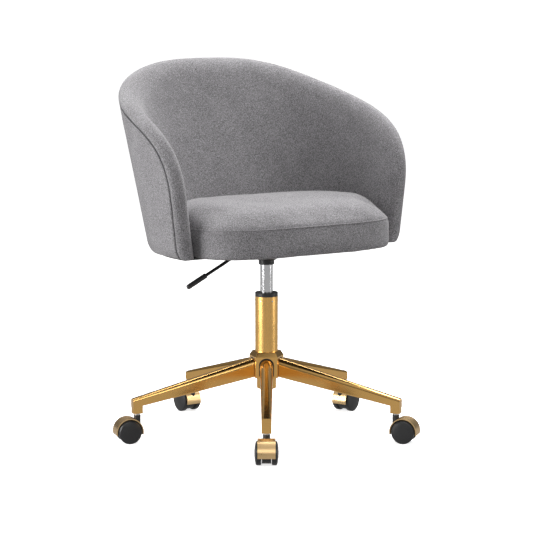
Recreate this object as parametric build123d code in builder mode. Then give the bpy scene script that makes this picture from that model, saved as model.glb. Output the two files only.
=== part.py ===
"""Swivel office chair: tub seat with wrap-round back, gas lift, five-leg base on twin-wheel casters.

Millimetres, +Z up. The origin is on the floor, on the axis of the gas lift. The sitter faces -Y.
"""

from build123d import *
from math import atan2, cos, pi, radians, sin
import os

os.makedirs("parts", exist_ok=True)

# ---------------------------------------------------------------- base
LEG_COUNT = 5
FIRST_LEG_ANGLE = -125.0  # leg_1, measured from +X; the base is turned against the seat
HUB_CORNER_RADIUS = 40.2  # five-sided prism, centre to corner
HUB_TOP_CORNER_RADIUS = 33.0  # after the sloped shoulder
HUB_EDGE_ROUNDING = 3.0
HUB_LOW = 128.0
HUB_SHOULDER = 174.0
HUB_TOP = 184.0
HUB_FLOOR = 4.0  # ledge that the lift's tube stands on
BOSS_RADIUS = 21.5
BOSS_BORE_RADIUS = 17.0
BOSS_LOW = 101.0
RECESS_WIDTH = 33.0
RECESS_TOP = 171.8
RECESS_FLOOR = 30.0  # distance of the recess floor from the axis

LEG_ROOT_WIDTH = 29.0
LEG_ROOT_LOW = 129.1
LEG_ROOT_HIGH = 169.8
LEG_ROOT_CREST = 1.0  # flat strip left on top of the arch
LEG_TIP_REACH = 304.0
LEG_TIP_WIDTH = 20.5
LEG_TIP_LOW = 75.2
LEG_TIP_HIGH = 95.0
LEG_TIP_CREST = 9.0
LEG_LOWER_ROUNDING = 3.0
STUB_LENGTH = 22.0  # along the leg
STUB_LOW = 63.4
STUB_ROUNDING = 3.0

# ---------------------------------------------------------------- casters
STEM_REACH = 293.0  # swivel axis to the lift's axis
STEM_RADIUS = 5.0
STEM_LOW = 38.5
STEM_HIGH = 85.0
STEM_FLANGE_RADIUS = 6.3
STEM_FLANGE_LOW = 60.0
SOCKET_RADIUS = 7.0
CASTER_TRAIL = 20.0
WHEEL_RADIUS = 25.0
WHEEL_INNER = 10.5  # inner face of each wheel, from the caster's middle
WHEEL_OUTER = 25.0
WHEEL_SHOULDER = 22.3
WHEEL_ROUNDING = 2.0
AXLE_RADIUS = 3.0
AXLE_HALF_LENGTH = 21.0
HOOD_RADIUS = 30.0
HOOD_WALL = 2.0
HOOD_WIDTH = 37.0
HOOD_DROP = 6.0  # how far the hood reaches below the axle
CORE_RADIUS = 21.5
CORE_WIDTH = 19.6
NECK_RADIUS = 7.5
NECK_TOP = 59.4

# ---------------------------------------------------------------- gas lift
RUNNING_GAP = 0.08  # radial clearance of every shaft that turns or slides in a bore
TUBE_RADIUS = 25.0
TUBE_WALL = 2.0
TUBE_TOP = 305.0
TUBE_FOOT_RADIUS = 23.6
TUBE_FLOOR = 4.0
RIVET_COUNT = 6
RIVET_RADIUS = 1.6
RIVET_HEIGHT = 296.0
RIVET_STAND_OUT = 0.6
CAP_TOP = 314.0
CAP_BORE_RADIUS = 14.4
CAP_SKIRT = 4.0
BUSH_LENGTH = 76.0
CYLINDER_RADIUS = 14.0
CYLINDER_BORE_RADIUS = 12.5
CYLINDER_LOW = 208.0
CYLINDER_SEAL = 10.0
CHAMBER_TOP = 380.0
TAPER_LOW = 375.0
TAPER_TOP = 396.0
TAPER_TOP_RADIUS = 13.2
ROD_RADIUS = 5.0
ROD_LOW = 118.0
ROD_TOP = 292.0
PISTON_LOW = 284.0
PISTON_LENGTH = 12.0
BEARING_RADIUS = 15.0
WASHER_THICKNESS = 3.0
BEARING_THICKNESS = 6.0
CLIP_RADIUS = 11.0
CLIP_THICKNESS = 3.0
BUTTON_RADIUS = 3.0
BUTTON_LOW = 386.0
BUTTON_TOP = 402.0

# ---------------------------------------------------------------- mechanism and lever
COLLAR_RADIUS = 17.0
COLLAR_TOP = 385.0
FLARE_TOP = 393.0
FLARE_LOW_RADIUS = 20.0
FLARE_TOP_RADIUS = 30.0
HOUSING_X = (-60.0, 44.0)
HOUSING_WIDTH = 64.0
HOUSING_WALL = 5.0
HOUSING_FLOOR = 3.0
SEAT_UNDERSIDE = 416.0
PLATE_THICKNESS = 3.0
PLATE_LENGTH = 190.0
PLATE_WIDTH = 120.0
PLATE_FLANGE = 8.0
BOLT_SPACING_X = 150.0
BOLT_SPACING_Y = 90.0
BOLT_RADIUS = 3.0
BOLT_HEAD_RADIUS = 5.5
BOLT_HEAD_HEIGHT = 4.0
BOLT_REACH = 14.0  # how far a bolt goes into the seat board
LEVER_PIVOT_X = -40.0
LEVER_PIVOT_Z = 404.5
LEVER_EYE_RADIUS = 5.0
LEVER_WIDTH = 14.0
LEVER_PIN_RADIUS = 2.5
LEVER_ROD_RADIUS = 3.5
LEVER_GRIP_RADIUS = 5.6
LEVER_SLOT_WIDTH = 20.0
LEVER_ROUTE = [  # (x, z)
    (-44.0, 404.5),
    (-78.0, 402.0),
    (-116.0, 382.5),
    (-156.0, 363.5),
    (-206.0, 339.5),
]
LEVER_BEND = 22.0
GRIP_START = 0.06  # share of the last straight run that stays bare

# ---------------------------------------------------------------- seat and wrap-round shell
SHELL_CENTRE_Y = -75.5
SHELL_HALF_WIDTH = 289.0  # at the bottom edge
SHELL_BACK = 220.5  # centre to the back, at the bottom edge
SHELL_FRONT = 333.0  # centre to the front of the full outline
SHELL_SIDE_FLARE = 0.129  # growth per mm of height
SHELL_BACK_FLARE = 0.297
SHELL_ROUNDNESS = 2.88  # exponent of the outline: 2 is an ellipse
SHELL_LOW = 414.0
SHELL_HIGH = 840.0  # above the rim
SHELL_TUCK = 8.0  # how far the bottom edge turns inwards
SHELL_TUCK_HEIGHT = 28.0
SHELL_THICKNESS = 44.4
SHELL_RIM_BACK = 816.0
SHELL_RIM_FRONT_Y = -108.0
SHELL_RIM_STRAIGHT = 538.0  # the arm's front edge is upright below this
SHELL_RIM_SLOPE = radians(36.5)
SHELL_RIM_BACK_HANDLE = 213.0
SHELL_RIM_FRONT_HANDLE = 173.0
FLANGE_OUTER_INSET = 22.0
FLANGE_INSET = 71.0
FLANGE_LOW = 411.0
FLANGE_BOLT_INSET = 61.0
FLANGE_BOLT_ANGLES = (-88, -50, 0, 50, 88)
SCREW_HEAD_RADIUS = 6.0
SCREW_HEAD_HEIGHT = 3.0

CUSHION_TOP = 522.0
CUSHION_GAP = 1.6  # to the shell's inner face
CUSHION_FRONT_ROUNDNESS = 3.6
CUSHION_JOIN_Y = -40.0  # the front outline starts here
CUSHION_FRONT = 155.0  # from there to the front edge
CUSHION_TOP_ROUNDING = 26.0
BOARD_INSET = 6.0
BOARD_THICKNESS = 18.0
COVER_THICKNESS = 1.5
COVER_INSET = 28.0
OUTLINE_POINTS = 20  # per half outline
RIM_STEPS = 18  # per arm
RIM_END_SHARE = 0.95  # the rim curve stops just before it turns upright
RIM_CORNER_SHARE = 0.88  # ahead of this, nothing stands higher than the rim does here
RIM_CUT_OUTSIDE = 60.0  # how far the rim's cut reaches past the outer face
RIM_CUT_INSIDE = 12.0  # and past the inner face

FOOT_LOW = HUB_LOW + HUB_FLOOR
LEG_ANGLES = [FIRST_LEG_ANGLE + 360.0 / LEG_COUNT * number for number in range(LEG_COUNT)]
PLATE_LOW = SEAT_UNDERSIDE - PLATE_THICKNESS


def save(part, label):
    """Name a finished piece and write it out."""
    part.label = label
    export_step(part, f"parts/{label}.step")


def turned(angle, reach, height=0.0):
    """Plane parallel to the floor, its origin at a radius, its x axis pointing outwards."""
    out = Vector(cos(radians(angle)), sin(radians(angle)), 0)
    return Plane(origin=out * reach + Vector(0, 0, height), x_dir=out, z_dir=(0, 0, 1))


def across(angle, reach, height=0.0):
    """Upright plane across a leg: x runs along the tangent, y is up."""
    out = Vector(cos(radians(angle)), sin(radians(angle)), 0)
    tangent = Vector(-sin(radians(angle)), cos(radians(angle)), 0)
    return Plane(origin=out * reach + Vector(0, 0, height), x_dir=tangent, z_dir=out)


def along(angle, reach, height=0.0):
    """Upright plane along a leg: x points outwards, y is up."""
    out = Vector(cos(radians(angle)), sin(radians(angle)), 0)
    tangent = Vector(-sin(radians(angle)), cos(radians(angle)), 0)
    return Plane(origin=out * reach + Vector(0, 0, height), x_dir=out, z_dir=tangent * -1)


# ================================================================ base
def arch_sketch(angle, reach, width, low, high, crest, lower_rounding):
    """Arched section across a leg: flat bottom, upright sides, rounded top."""
    with BuildSketch(across(angle, reach)) as section:
        with Locations((0, (low + high) / 2)):
            Rectangle(width, high - low)
        tops = section.vertices().group_by(Axis.Y)[-1]
        fillet(tops, (width - crest) / 2)
        if lower_rounding:
            fillet(section.vertices().group_by(Axis.Y)[0], lower_rounding)
    return section.sketch


def pentagon_sketch(height, corner_radius):
    with BuildSketch(turned(FIRST_LEG_ANGLE, 0, height)) as outline:
        RegularPolygon(corner_radius, LEG_COUNT, rotation=180 / LEG_COUNT)
        fillet(outline.vertices(), HUB_EDGE_ROUNDING)
    return outline.sketch


with BuildPart() as hub:
    loft([pentagon_sketch(HUB_LOW, HUB_CORNER_RADIUS), pentagon_sketch(HUB_SHOULDER, HUB_CORNER_RADIUS)])
    shoulder = pentagon_sketch(HUB_SHOULDER, HUB_CORNER_RADIUS)
    loft([shoulder, pentagon_sketch(HUB_TOP, HUB_TOP_CORNER_RADIUS)])
    with BuildSketch(Plane.XY.offset(BOSS_LOW)):
        Circle(BOSS_RADIUS)
    extrude(amount=HUB_LOW - BOSS_LOW)
    fillet(hub.edges().filter_by(GeomType.CIRCLE).group_by(Axis.Z)[0], 2.5)
    for leg_angle in LEG_ANGLES:
        recess = arch_sketch(leg_angle, RECESS_FLOOR, RECESS_WIDTH, HUB_LOW - 1, RECESS_TOP, 1.0, 0)
        extrude(recess, amount=HUB_CORNER_RADIUS - RECESS_FLOOR, mode=Mode.SUBTRACT)
    with BuildSketch(Plane.XY.offset(BOSS_LOW)):
        Circle(BOSS_BORE_RADIUS)
    extrude(amount=FOOT_LOW - BOSS_LOW, mode=Mode.SUBTRACT)
    with BuildSketch(Plane.XZ):
        Polygon(
            (0, FOOT_LOW), (TUBE_FOOT_RADIUS, FOOT_LOW), (TUBE_RADIUS, HUB_TOP), (0, HUB_TOP), align=None
        )
    revolve(axis=Axis.Z, mode=Mode.SUBTRACT)
save(hub.part, "hub")


def make_leg(angle):
    """One leg: tapering arched arm that ends in an upright stub with a hole for the caster's socket."""
    stub_reach = LEG_TIP_REACH - STUB_LENGTH / 2
    with BuildPart() as leg:
        loft([
            arch_sketch(angle, RECESS_FLOOR, LEG_ROOT_WIDTH, LEG_ROOT_LOW, LEG_ROOT_HIGH,
                        LEG_ROOT_CREST, LEG_LOWER_ROUNDING),
            arch_sketch(angle, LEG_TIP_REACH, LEG_TIP_WIDTH, LEG_TIP_LOW, LEG_TIP_HIGH,
                        LEG_TIP_CREST, LEG_LOWER_ROUNDING),
        ])
        with BuildSketch(turned(angle, stub_reach, STUB_LOW)):
            RectangleRounded(STUB_LENGTH, LEG_TIP_WIDTH, STUB_ROUNDING)
        extrude(amount=LEG_TIP_LOW + 12 - STUB_LOW)
        with BuildSketch(turned(angle, STEM_REACH, STUB_LOW)):
            Circle(SOCKET_RADIUS)
        extrude(amount=STEM_HIGH + 1 - STUB_LOW, mode=Mode.SUBTRACT)
    return leg.part


for number, leg_angle in enumerate(LEG_ANGLES, start=1):
    save(make_leg(leg_angle), f"leg_{number}")

with BuildPart() as stem_sockets:
    for leg_angle in LEG_ANGLES:
        with BuildSketch(turned(leg_angle, STEM_REACH, STUB_LOW)):
            Circle(SOCKET_RADIUS)
            Circle(STEM_RADIUS, mode=Mode.SUBTRACT)
        extrude(amount=STEM_HIGH - STUB_LOW)
save(stem_sockets.part, "stem_sockets")

with BuildPart() as caster_stems:
    for leg_angle in LEG_ANGLES:
        with BuildSketch(turned(leg_angle, STEM_REACH, STEM_LOW)):
            Circle(STEM_RADIUS)
        extrude(amount=STEM_HIGH - STEM_LOW)
        with BuildSketch(turned(leg_angle, STEM_REACH, STEM_FLANGE_LOW)):
            Circle(STEM_FLANGE_RADIUS)
        extrude(amount=STUB_LOW - STEM_FLANGE_LOW)
save(caster_stems.part, "caster_stems")

# ================================================================ gas lift, fixed tube
tube_bore = TUBE_RADIUS - TUBE_WALL
foot_bore = TUBE_FOOT_RADIUS - TUBE_WALL
RIVET_ANGLES = [FIRST_LEG_ANGLE + 360.0 / RIVET_COUNT * (number + 0.5) for number in range(RIVET_COUNT)]


def ring(low, high, outer_radius, inner_radius):
    """Plain ring about the lift's axis."""
    with BuildPart() as piece:
        with BuildSketch(Plane.XY.offset(low)):
            Circle(outer_radius)
            Circle(inner_radius, mode=Mode.SUBTRACT)
        extrude(amount=high - low)
    return piece


with BuildPart() as column_tube:
    with BuildSketch(Plane.XZ):
        Polygon(
            (ROD_RADIUS + 0.4, FOOT_LOW), (TUBE_FOOT_RADIUS, FOOT_LOW), (TUBE_RADIUS, HUB_TOP),
            (TUBE_RADIUS, TUBE_TOP), (tube_bore, TUBE_TOP), (tube_bore, HUB_TOP),
            (foot_bore, FOOT_LOW + TUBE_FLOOR), (ROD_RADIUS + 0.4, FOOT_LOW + TUBE_FLOOR), align=None,
        )
    revolve(axis=Axis.Z)
    for rivet_angle in RIVET_ANGLES:
        with BuildSketch(across(rivet_angle, tube_bore - 1, RIVET_HEIGHT)):
            Circle(RIVET_RADIUS)
        extrude(amount=TUBE_WALL + 2, mode=Mode.SUBTRACT)
save(column_tube.part, "column_tube")

with BuildPart() as tube_rivets:
    for rivet_angle in RIVET_ANGLES:
        with BuildSketch(across(rivet_angle, tube_bore, RIVET_HEIGHT)):
            Circle(RIVET_RADIUS)
        extrude(amount=TUBE_WALL + RIVET_STAND_OUT)
save(tube_rivets.part, "tube_rivets")

with BuildPart() as column_cap:
    with BuildSketch(Plane.XY.offset(TUBE_TOP)):
        Circle(TUBE_RADIUS)
    extrude(amount=CAP_TOP - TUBE_TOP)
    fillet(column_cap.edges().group_by(Axis.Z)[-1], 1.5)
    with BuildSketch(Plane.XY.offset(TUBE_TOP)):
        Circle(tube_bore)
    extrude(amount=-CAP_SKIRT)
    with BuildSketch(Plane.XY.offset(TUBE_TOP - CAP_SKIRT)):
        Circle(CAP_BORE_RADIUS)
    extrude(amount=CAP_TOP - TUBE_TOP + CAP_SKIRT, mode=Mode.SUBTRACT)
save(column_cap.part, "column_cap")

bush_top = TUBE_TOP - CAP_SKIRT
guide_bush = ring(bush_top - BUSH_LENGTH, bush_top, tube_bore, CYLINDER_RADIUS + RUNNING_GAP)
save(guide_bush.part, "guide_bush")

washer_low = FOOT_LOW + TUBE_FLOOR
thrust_washer = ring(washer_low, washer_low + WASHER_THICKNESS, BEARING_RADIUS, ROD_RADIUS + 0.4)
save(thrust_washer.part, "thrust_washer")

# ================================================================ gas lift, turning rod
with BuildPart() as piston_rod:
    with BuildSketch(Plane.XY.offset(ROD_LOW)):
        Circle(ROD_RADIUS)
    extrude(amount=ROD_TOP - ROD_LOW)
    chamfer(piston_rod.edges().group_by(Axis.Z)[0], 1.0)
save(piston_rod.part, "piston_rod")

piston_head = ring(PISTON_LOW, PISTON_LOW + PISTON_LENGTH, CYLINDER_BORE_RADIUS - RUNNING_GAP, ROD_RADIUS)
save(piston_head.part, "piston_head")

bearing_low = washer_low + WASHER_THICKNESS + 0.3
thrust_bearing = ring(bearing_low, bearing_low + BEARING_THICKNESS, BEARING_RADIUS, ROD_RADIUS)
save(thrust_bearing.part, "thrust_bearing")

clip_top = FOOT_LOW - 0.3
retaining_clip = ring(clip_top - CLIP_THICKNESS, clip_top, CLIP_RADIUS, ROD_RADIUS)
save(retaining_clip.part, "retaining_clip")

# ================================================================ gas lift, sliding cylinder
with BuildPart() as gas_cylinder:
    with BuildSketch(Plane.XZ):
        Polygon(
            (ROD_RADIUS + RUNNING_GAP, CYLINDER_LOW), (CYLINDER_RADIUS, CYLINDER_LOW),
            (CYLINDER_RADIUS, TAPER_LOW), (TAPER_TOP_RADIUS, TAPER_TOP),
            (BUTTON_RADIUS + RUNNING_GAP, TAPER_TOP), (BUTTON_RADIUS + RUNNING_GAP, CHAMBER_TOP),
            (CYLINDER_BORE_RADIUS, CHAMBER_TOP), (CYLINDER_BORE_RADIUS, CYLINDER_LOW + CYLINDER_SEAL),
            (ROD_RADIUS + RUNNING_GAP, CYLINDER_LOW + CYLINDER_SEAL), align=None,
        )
    revolve(axis=Axis.Z)
save(gas_cylinder.part, "gas_cylinder")

with BuildPart() as valve_button:
    with BuildSketch(Plane.XY.offset(BUTTON_LOW)):
        Circle(BUTTON_RADIUS)
    extrude(amount=BUTTON_TOP - BUTTON_LOW)
save(valve_button.part, "valve_button")


def taper_sketch():
    """Half section of the gas cylinder's tapered top."""
    with BuildSketch(Plane.XZ) as taper:
        Polygon((0, TAPER_LOW), (CYLINDER_RADIUS, TAPER_LOW), (TAPER_TOP_RADIUS, TAPER_TOP), (0, TAPER_TOP),
                align=None)
    return taper.sketch


# ================================================================ mechanism under the seat
with BuildPart() as taper_collar:
    with BuildSketch(Plane.XY.offset(TAPER_LOW)):
        Circle(COLLAR_RADIUS)
    extrude(amount=COLLAR_TOP - TAPER_LOW)
    fillet(taper_collar.edges().group_by(Axis.Z)[0], 1.0)
    revolve(taper_sketch(), axis=Axis.Z, mode=Mode.SUBTRACT)
save(taper_collar.part, "taper_collar")

housing_centre_x = sum(HOUSING_X) / 2
housing_length = HOUSING_X[1] - HOUSING_X[0]
cavity_low = FLARE_TOP + HOUSING_FLOOR

with BuildPart() as mechanism_housing:
    with BuildSketch(Plane.XZ):
        Polygon(
            (0, COLLAR_TOP), (FLARE_LOW_RADIUS, COLLAR_TOP), (FLARE_TOP_RADIUS, FLARE_TOP), (0, FLARE_TOP),
            align=None,
        )
    revolve(axis=Axis.Z)
    with BuildSketch(Plane.XY.offset(FLARE_TOP)):
        with Locations((housing_centre_x, 0)):
            RectangleRounded(housing_length, HOUSING_WIDTH, 8)
    extrude(amount=PLATE_LOW - FLARE_TOP)
    with BuildSketch(Plane.XY.offset(cavity_low)):
        with Locations((housing_centre_x, 0)):
            RectangleRounded(housing_length - 2 * HOUSING_WALL, HOUSING_WIDTH - 2 * HOUSING_WALL, 4)
    extrude(amount=PLATE_LOW - cavity_low, mode=Mode.SUBTRACT)
    with BuildSketch(Plane.XY.offset(cavity_low)):
        with Locations((HOUSING_X[0], 0)):
            Rectangle(3 * HOUSING_WALL, LEVER_SLOT_WIDTH)
    extrude(amount=PLATE_LOW - cavity_low, mode=Mode.SUBTRACT)
    with BuildSketch(Plane.XZ):
        with Locations((LEVER_PIVOT_X, LEVER_PIVOT_Z)):
            Circle(LEVER_PIN_RADIUS)
    extrude(amount=HOUSING_WIDTH, both=True, mode=Mode.SUBTRACT)
    revolve(taper_sketch(), axis=Axis.Z, mode=Mode.SUBTRACT)
save(mechanism_housing.part, "mechanism_housing")

with BuildPart() as mechanism_plate:
    with BuildSketch(Plane.XY.offset(PLATE_LOW)):
        RectangleRounded(PLATE_LENGTH, PLATE_WIDTH, 10)
        with GridLocations(BOLT_SPACING_X, BOLT_SPACING_Y, 2, 2):
            Circle(BOLT_RADIUS + 0.3, mode=Mode.SUBTRACT)
    extrude(amount=PLATE_THICKNESS)
    with BuildSketch(Plane.XY.offset(PLATE_LOW - PLATE_FLANGE)):
        with GridLocations(PLATE_LENGTH - PLATE_THICKNESS, 0, 2, 1):
            Rectangle(PLATE_THICKNESS, PLATE_WIDTH - 24)
    extrude(amount=PLATE_FLANGE)
save(mechanism_plate.part, "mechanism_plate")

with BuildPart() as mechanism_bolts:
    with BuildSketch(Plane.XY.offset(PLATE_LOW - BOLT_HEAD_HEIGHT)):
        with GridLocations(BOLT_SPACING_X, BOLT_SPACING_Y, 2, 2):
            RegularPolygon(BOLT_HEAD_RADIUS, 6)
    extrude(amount=BOLT_HEAD_HEIGHT)
    with BuildSketch(Plane.XY.offset(PLATE_LOW)):
        with GridLocations(BOLT_SPACING_X, BOLT_SPACING_Y, 2, 2):
            Circle(BOLT_RADIUS)
    extrude(amount=PLATE_THICKNESS + BOLT_REACH)
save(mechanism_bolts.part, "mechanism_bolts")

with BuildPart() as lever_pivot:
    with BuildSketch(Plane.XZ):
        with Locations((LEVER_PIVOT_X, LEVER_PIVOT_Z)):
            Circle(LEVER_PIN_RADIUS)
    extrude(amount=HOUSING_WIDTH / 2, both=True)
save(lever_pivot.part, "lever_pivot")


# ================================================================ lever
def rod_route(points, bend):
    """Straight runs joined by tangent arcs, in the plane y = 0."""
    with BuildLine(Plane.XZ) as route:
        FilletPolyline(*points, radius=bend)
    return route.line


grip_direction = Vector(*LEVER_ROUTE[-1]) - Vector(*LEVER_ROUTE[-2])
grip_low = Vector(*LEVER_ROUTE[-2]) + grip_direction * GRIP_START

with BuildPart() as lever_rod:
    route = rod_route(LEVER_ROUTE[:-1] + [(grip_low.X, grip_low.Y)], LEVER_BEND)
    with BuildSketch(Plane(origin=route @ 0, z_dir=route % 0)):
        Circle(LEVER_ROD_RADIUS)
    sweep(path=route)
    with BuildSketch(Plane.XZ):
        with Locations((LEVER_PIVOT_X, LEVER_PIVOT_Z)):
            Circle(LEVER_EYE_RADIUS)
        with Locations(((LEVER_PIVOT_X + 2) / 2, LEVER_PIVOT_Z)):
            Rectangle(2 - LEVER_PIVOT_X, 4)
    extrude(amount=LEVER_WIDTH / 2, both=True)
    with BuildSketch(Plane.XZ):
        with Locations((LEVER_PIVOT_X, LEVER_PIVOT_Z)):
            Circle(LEVER_PIN_RADIUS + RUNNING_GAP)
    extrude(amount=LEVER_WIDTH, both=True, mode=Mode.SUBTRACT)
save(lever_rod.part, "lever_rod")

with BuildPart() as lever_grip:
    grip_origin = Vector(grip_low.X, 0, grip_low.Y)
    grip_axis = Vector(grip_direction.X, 0, grip_direction.Y).normalized()
    with BuildSketch(Plane(origin=grip_origin, z_dir=grip_axis)):
        Circle(LEVER_GRIP_RADIUS)
    extrude(amount=grip_direction.length * (1 - GRIP_START))
    fillet(lever_grip.edges().sort_by(Axis.X)[0], LEVER_GRIP_RADIUS - 1)
save(lever_grip.part, "lever_grip")


# ================================================================ wrap-round shell
def shell_reach(angle, height, inset):
    """Distance from the shell's centre line to its face; angle is 0 at the back and pi at the front."""
    side = SHELL_HALF_WIDTH + SHELL_SIDE_FLARE * (height - SHELL_LOW) - inset
    back = SHELL_BACK + SHELL_BACK_FLARE * (height - SHELL_LOW) - inset
    depth = back if cos(angle) > 0 else SHELL_FRONT - inset
    n = SHELL_ROUNDNESS
    return (abs(sin(angle) / side) ** n + abs(cos(angle) / depth) ** n) ** (-1 / n)


def shell_point(angle, height, inset):
    reach = shell_reach(angle, height, inset)
    return (reach * sin(angle), SHELL_CENTRE_Y + reach * cos(angle), height)


def shell_sketch(height, inset):
    """Closed outline of the shell's outer face at one height, moved inwards by inset."""
    count = 2 * OUTLINE_POINTS
    with BuildSketch(Plane.XY.offset(height)) as outline:
        with BuildLine():
            points = [shell_point(2 * pi * (step + 0.5) / count, height, inset) for step in range(count)]
            Spline(*[(x, y) for x, y, _ in points], periodic=True)
        make_face()
    return outline.sketch


def rim_side_view(share):
    """Point (y, z) of the rim seen from the side, from the back's top (0) to the arm's front (1)."""
    start = (shell_point(0, SHELL_RIM_BACK, 0)[1], SHELL_RIM_BACK)
    start_handle = (
        start[0] - SHELL_RIM_BACK_HANDLE * cos(SHELL_RIM_SLOPE),
        start[1] - SHELL_RIM_BACK_HANDLE * sin(SHELL_RIM_SLOPE),
    )
    end = (SHELL_RIM_FRONT_Y, SHELL_RIM_STRAIGHT)
    end_handle = (end[0], end[1] + SHELL_RIM_FRONT_HANDLE)
    weights = ((1 - share) ** 3, 3 * share * (1 - share) ** 2, 3 * share ** 2 * (1 - share), share ** 3)
    corners = (start, start_handle, end_handle, end)
    y = sum(weight * corner[0] for weight, corner in zip(weights, corners))
    z = sum(weight * corner[1] for weight, corner in zip(weights, corners))
    return y, z


def rim_point(share, inset):
    """Rim point on the face that lies inset inside the outer one; share runs -1 to 1 over both arms."""
    y, z = rim_side_view(abs(share))
    side = SHELL_HALF_WIDTH + SHELL_SIDE_FLARE * (z - SHELL_LOW)
    back = SHELL_BACK + SHELL_BACK_FLARE * (z - SHELL_LOW)
    depth = back if y > SHELL_CENTRE_Y else SHELL_FRONT
    n = SHELL_ROUNDNESS
    x = side * max(1 - (abs(y - SHELL_CENTRE_Y) / depth) ** n, 0) ** (1 / n)
    angle = atan2(x, y - SHELL_CENTRE_Y)
    x, y, z = shell_point(angle, z, inset)
    return (x if share > 0 else -x, y, z)


def rim_edge(inset):
    """The rim's whole curve on the face that lies inset inside the outer one."""
    steps = range(-RIM_STEPS, RIM_STEPS + 1)
    with BuildLine() as edge:
        Spline(*[rim_point(RIM_END_SHARE * step / RIM_STEPS, inset) for step in steps])
    return edge.edge()


def shell_bolt_points():
    """Places (x, y) of the screws that hold the shell's flange to the seat board."""
    return [shell_point(radians(angle), SHELL_LOW, FLANGE_BOLT_INSET)[:2] for angle in FLANGE_BOLT_ANGLES]


def countersunk_sketch():
    """Half section of a flange screw about its own axis."""
    shank_low = FLANGE_LOW + SCREW_HEAD_HEIGHT
    with BuildSketch(Plane.XZ) as section:
        Polygon((0, FLANGE_LOW), (SCREW_HEAD_RADIUS, FLANGE_LOW), (BOLT_RADIUS, shank_low),
                (BOLT_RADIUS, SEAT_UNDERSIDE + BOLT_REACH), (0, SEAT_UNDERSIDE + BOLT_REACH), align=None)
    return section.sketch


with BuildPart() as screw:
    revolve(countersunk_sketch(), axis=Axis.Z)

with BuildPart() as shell_bolts:
    with Locations(*shell_bolt_points()):
        add(screw.part)
save(shell_bolts.part, "shell_bolts")

with BuildPart() as shell_bracket:
    extrude(shell_sketch(FLANGE_LOW, FLANGE_OUTER_INSET), amount=SHELL_LOW - FLANGE_LOW)
    extrude(shell_sketch(FLANGE_LOW, SHELL_THICKNESS + 2), amount=SEAT_UNDERSIDE - FLANGE_LOW)
    extrude(shell_sketch(FLANGE_LOW, FLANGE_INSET), amount=SEAT_UNDERSIDE - FLANGE_LOW, mode=Mode.SUBTRACT)
    with BuildSketch(Plane.XY.offset(FLANGE_LOW)):
        with Locations((0, SHELL_RIM_FRONT_Y + FLANGE_OUTER_INSET)):
            Rectangle(4 * SHELL_HALF_WIDTH, 2 * SHELL_FRONT, align=(Align.CENTER, Align.MAX))
    extrude(amount=SEAT_UNDERSIDE - FLANGE_LOW, mode=Mode.SUBTRACT)
    add(shell_bolts.part, mode=Mode.SUBTRACT)
save(shell_bracket.part, "shell_bracket")

tuck_top = SHELL_LOW + SHELL_TUCK_HEIGHT
rim_corner_height = rim_side_view(RIM_CORNER_SHARE)[1]
with BuildPart() as back_shell:
    loft([shell_sketch(SHELL_LOW, SHELL_TUCK), shell_sketch(tuck_top, 0)], ruled=True)
    loft([shell_sketch(tuck_top, 0), shell_sketch(SHELL_HIGH, 0)], ruled=True)
    loft(
        [shell_sketch(SHELL_LOW, SHELL_THICKNESS), shell_sketch(SHELL_HIGH, SHELL_THICKNESS)],
        ruled=True,
        mode=Mode.SUBTRACT,
    )
    rim = Face.make_surface_from_curves(
        rim_edge(-RIM_CUT_OUTSIDE), rim_edge(SHELL_THICKNESS + RIM_CUT_INSIDE)
    )
    extrude(rim, amount=SHELL_HIGH, dir=(0, 0, 1), mode=Mode.SUBTRACT)
    for share, height in ((RIM_END_SHARE, SHELL_LOW), (RIM_CORNER_SHARE, rim_corner_height)):
        with BuildSketch(Plane.XY.offset(height)):
            with Locations((0, rim_side_view(share)[0])):
                Rectangle(4 * SHELL_HALF_WIDTH, 2 * SHELL_FRONT, align=(Align.CENTER, Align.MAX))
        extrude(amount=SHELL_HIGH, mode=Mode.SUBTRACT)
save(back_shell.part, "back_shell")


# ================================================================ seat
def seat_sketch(height, inset):
    """Seat outline: rounded front edge ahead of the join, and the shell's inner face behind it."""
    wall_inset = SHELL_THICKNESS + CUSHION_GAP + inset
    start = next(
        angle for angle in (pi * step / 720 for step in range(720))
        if shell_point(angle, height, wall_inset)[1] < CUSHION_JOIN_Y
    )
    half_width = shell_point(start, height, wall_inset)[0]
    depth = CUSHION_FRONT - inset
    n = CUSHION_FRONT_ROUNDNESS
    points = []
    for step in range(-OUTLINE_POINTS + 1, OUTLINE_POINTS):
        angle = pi / 2 * step / OUTLINE_POINTS
        reach = (abs(sin(angle) / half_width) ** n + abs(cos(angle) / depth) ** n) ** (-1 / n)
        points.append((reach * sin(angle), CUSHION_JOIN_Y - reach * cos(angle)))
    for step in range(OUTLINE_POINTS + 1):
        angle = start * (1 - 2 * step / OUTLINE_POINTS)
        points.append(shell_point(angle, height, wall_inset)[:2])
    with BuildSketch(Plane.XY.offset(height)) as outline:
        with BuildLine():
            Spline(*points, periodic=True)
        make_face()
    return outline.sketch


FASTENERS = [mechanism_bolts.part, shell_bolts.part]

with BuildPart() as seat_board:
    extrude(seat_sketch(SEAT_UNDERSIDE, BOARD_INSET), amount=BOARD_THICKNESS)
    for fasteners in FASTENERS:
        add(fasteners, mode=Mode.SUBTRACT)
save(seat_board.part, "seat_board")

with BuildPart() as seat_cushion:
    loft([seat_sketch(SEAT_UNDERSIDE, 0), seat_sketch(CUSHION_TOP, 0)], ruled=True)
    fillet(seat_cushion.edges().group_by(Axis.Z)[-1], CUSHION_TOP_ROUNDING)
    extrude(seat_sketch(SEAT_UNDERSIDE, BOARD_INSET), amount=BOARD_THICKNESS, mode=Mode.SUBTRACT)
save(seat_cushion.part, "seat_cushion")

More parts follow.
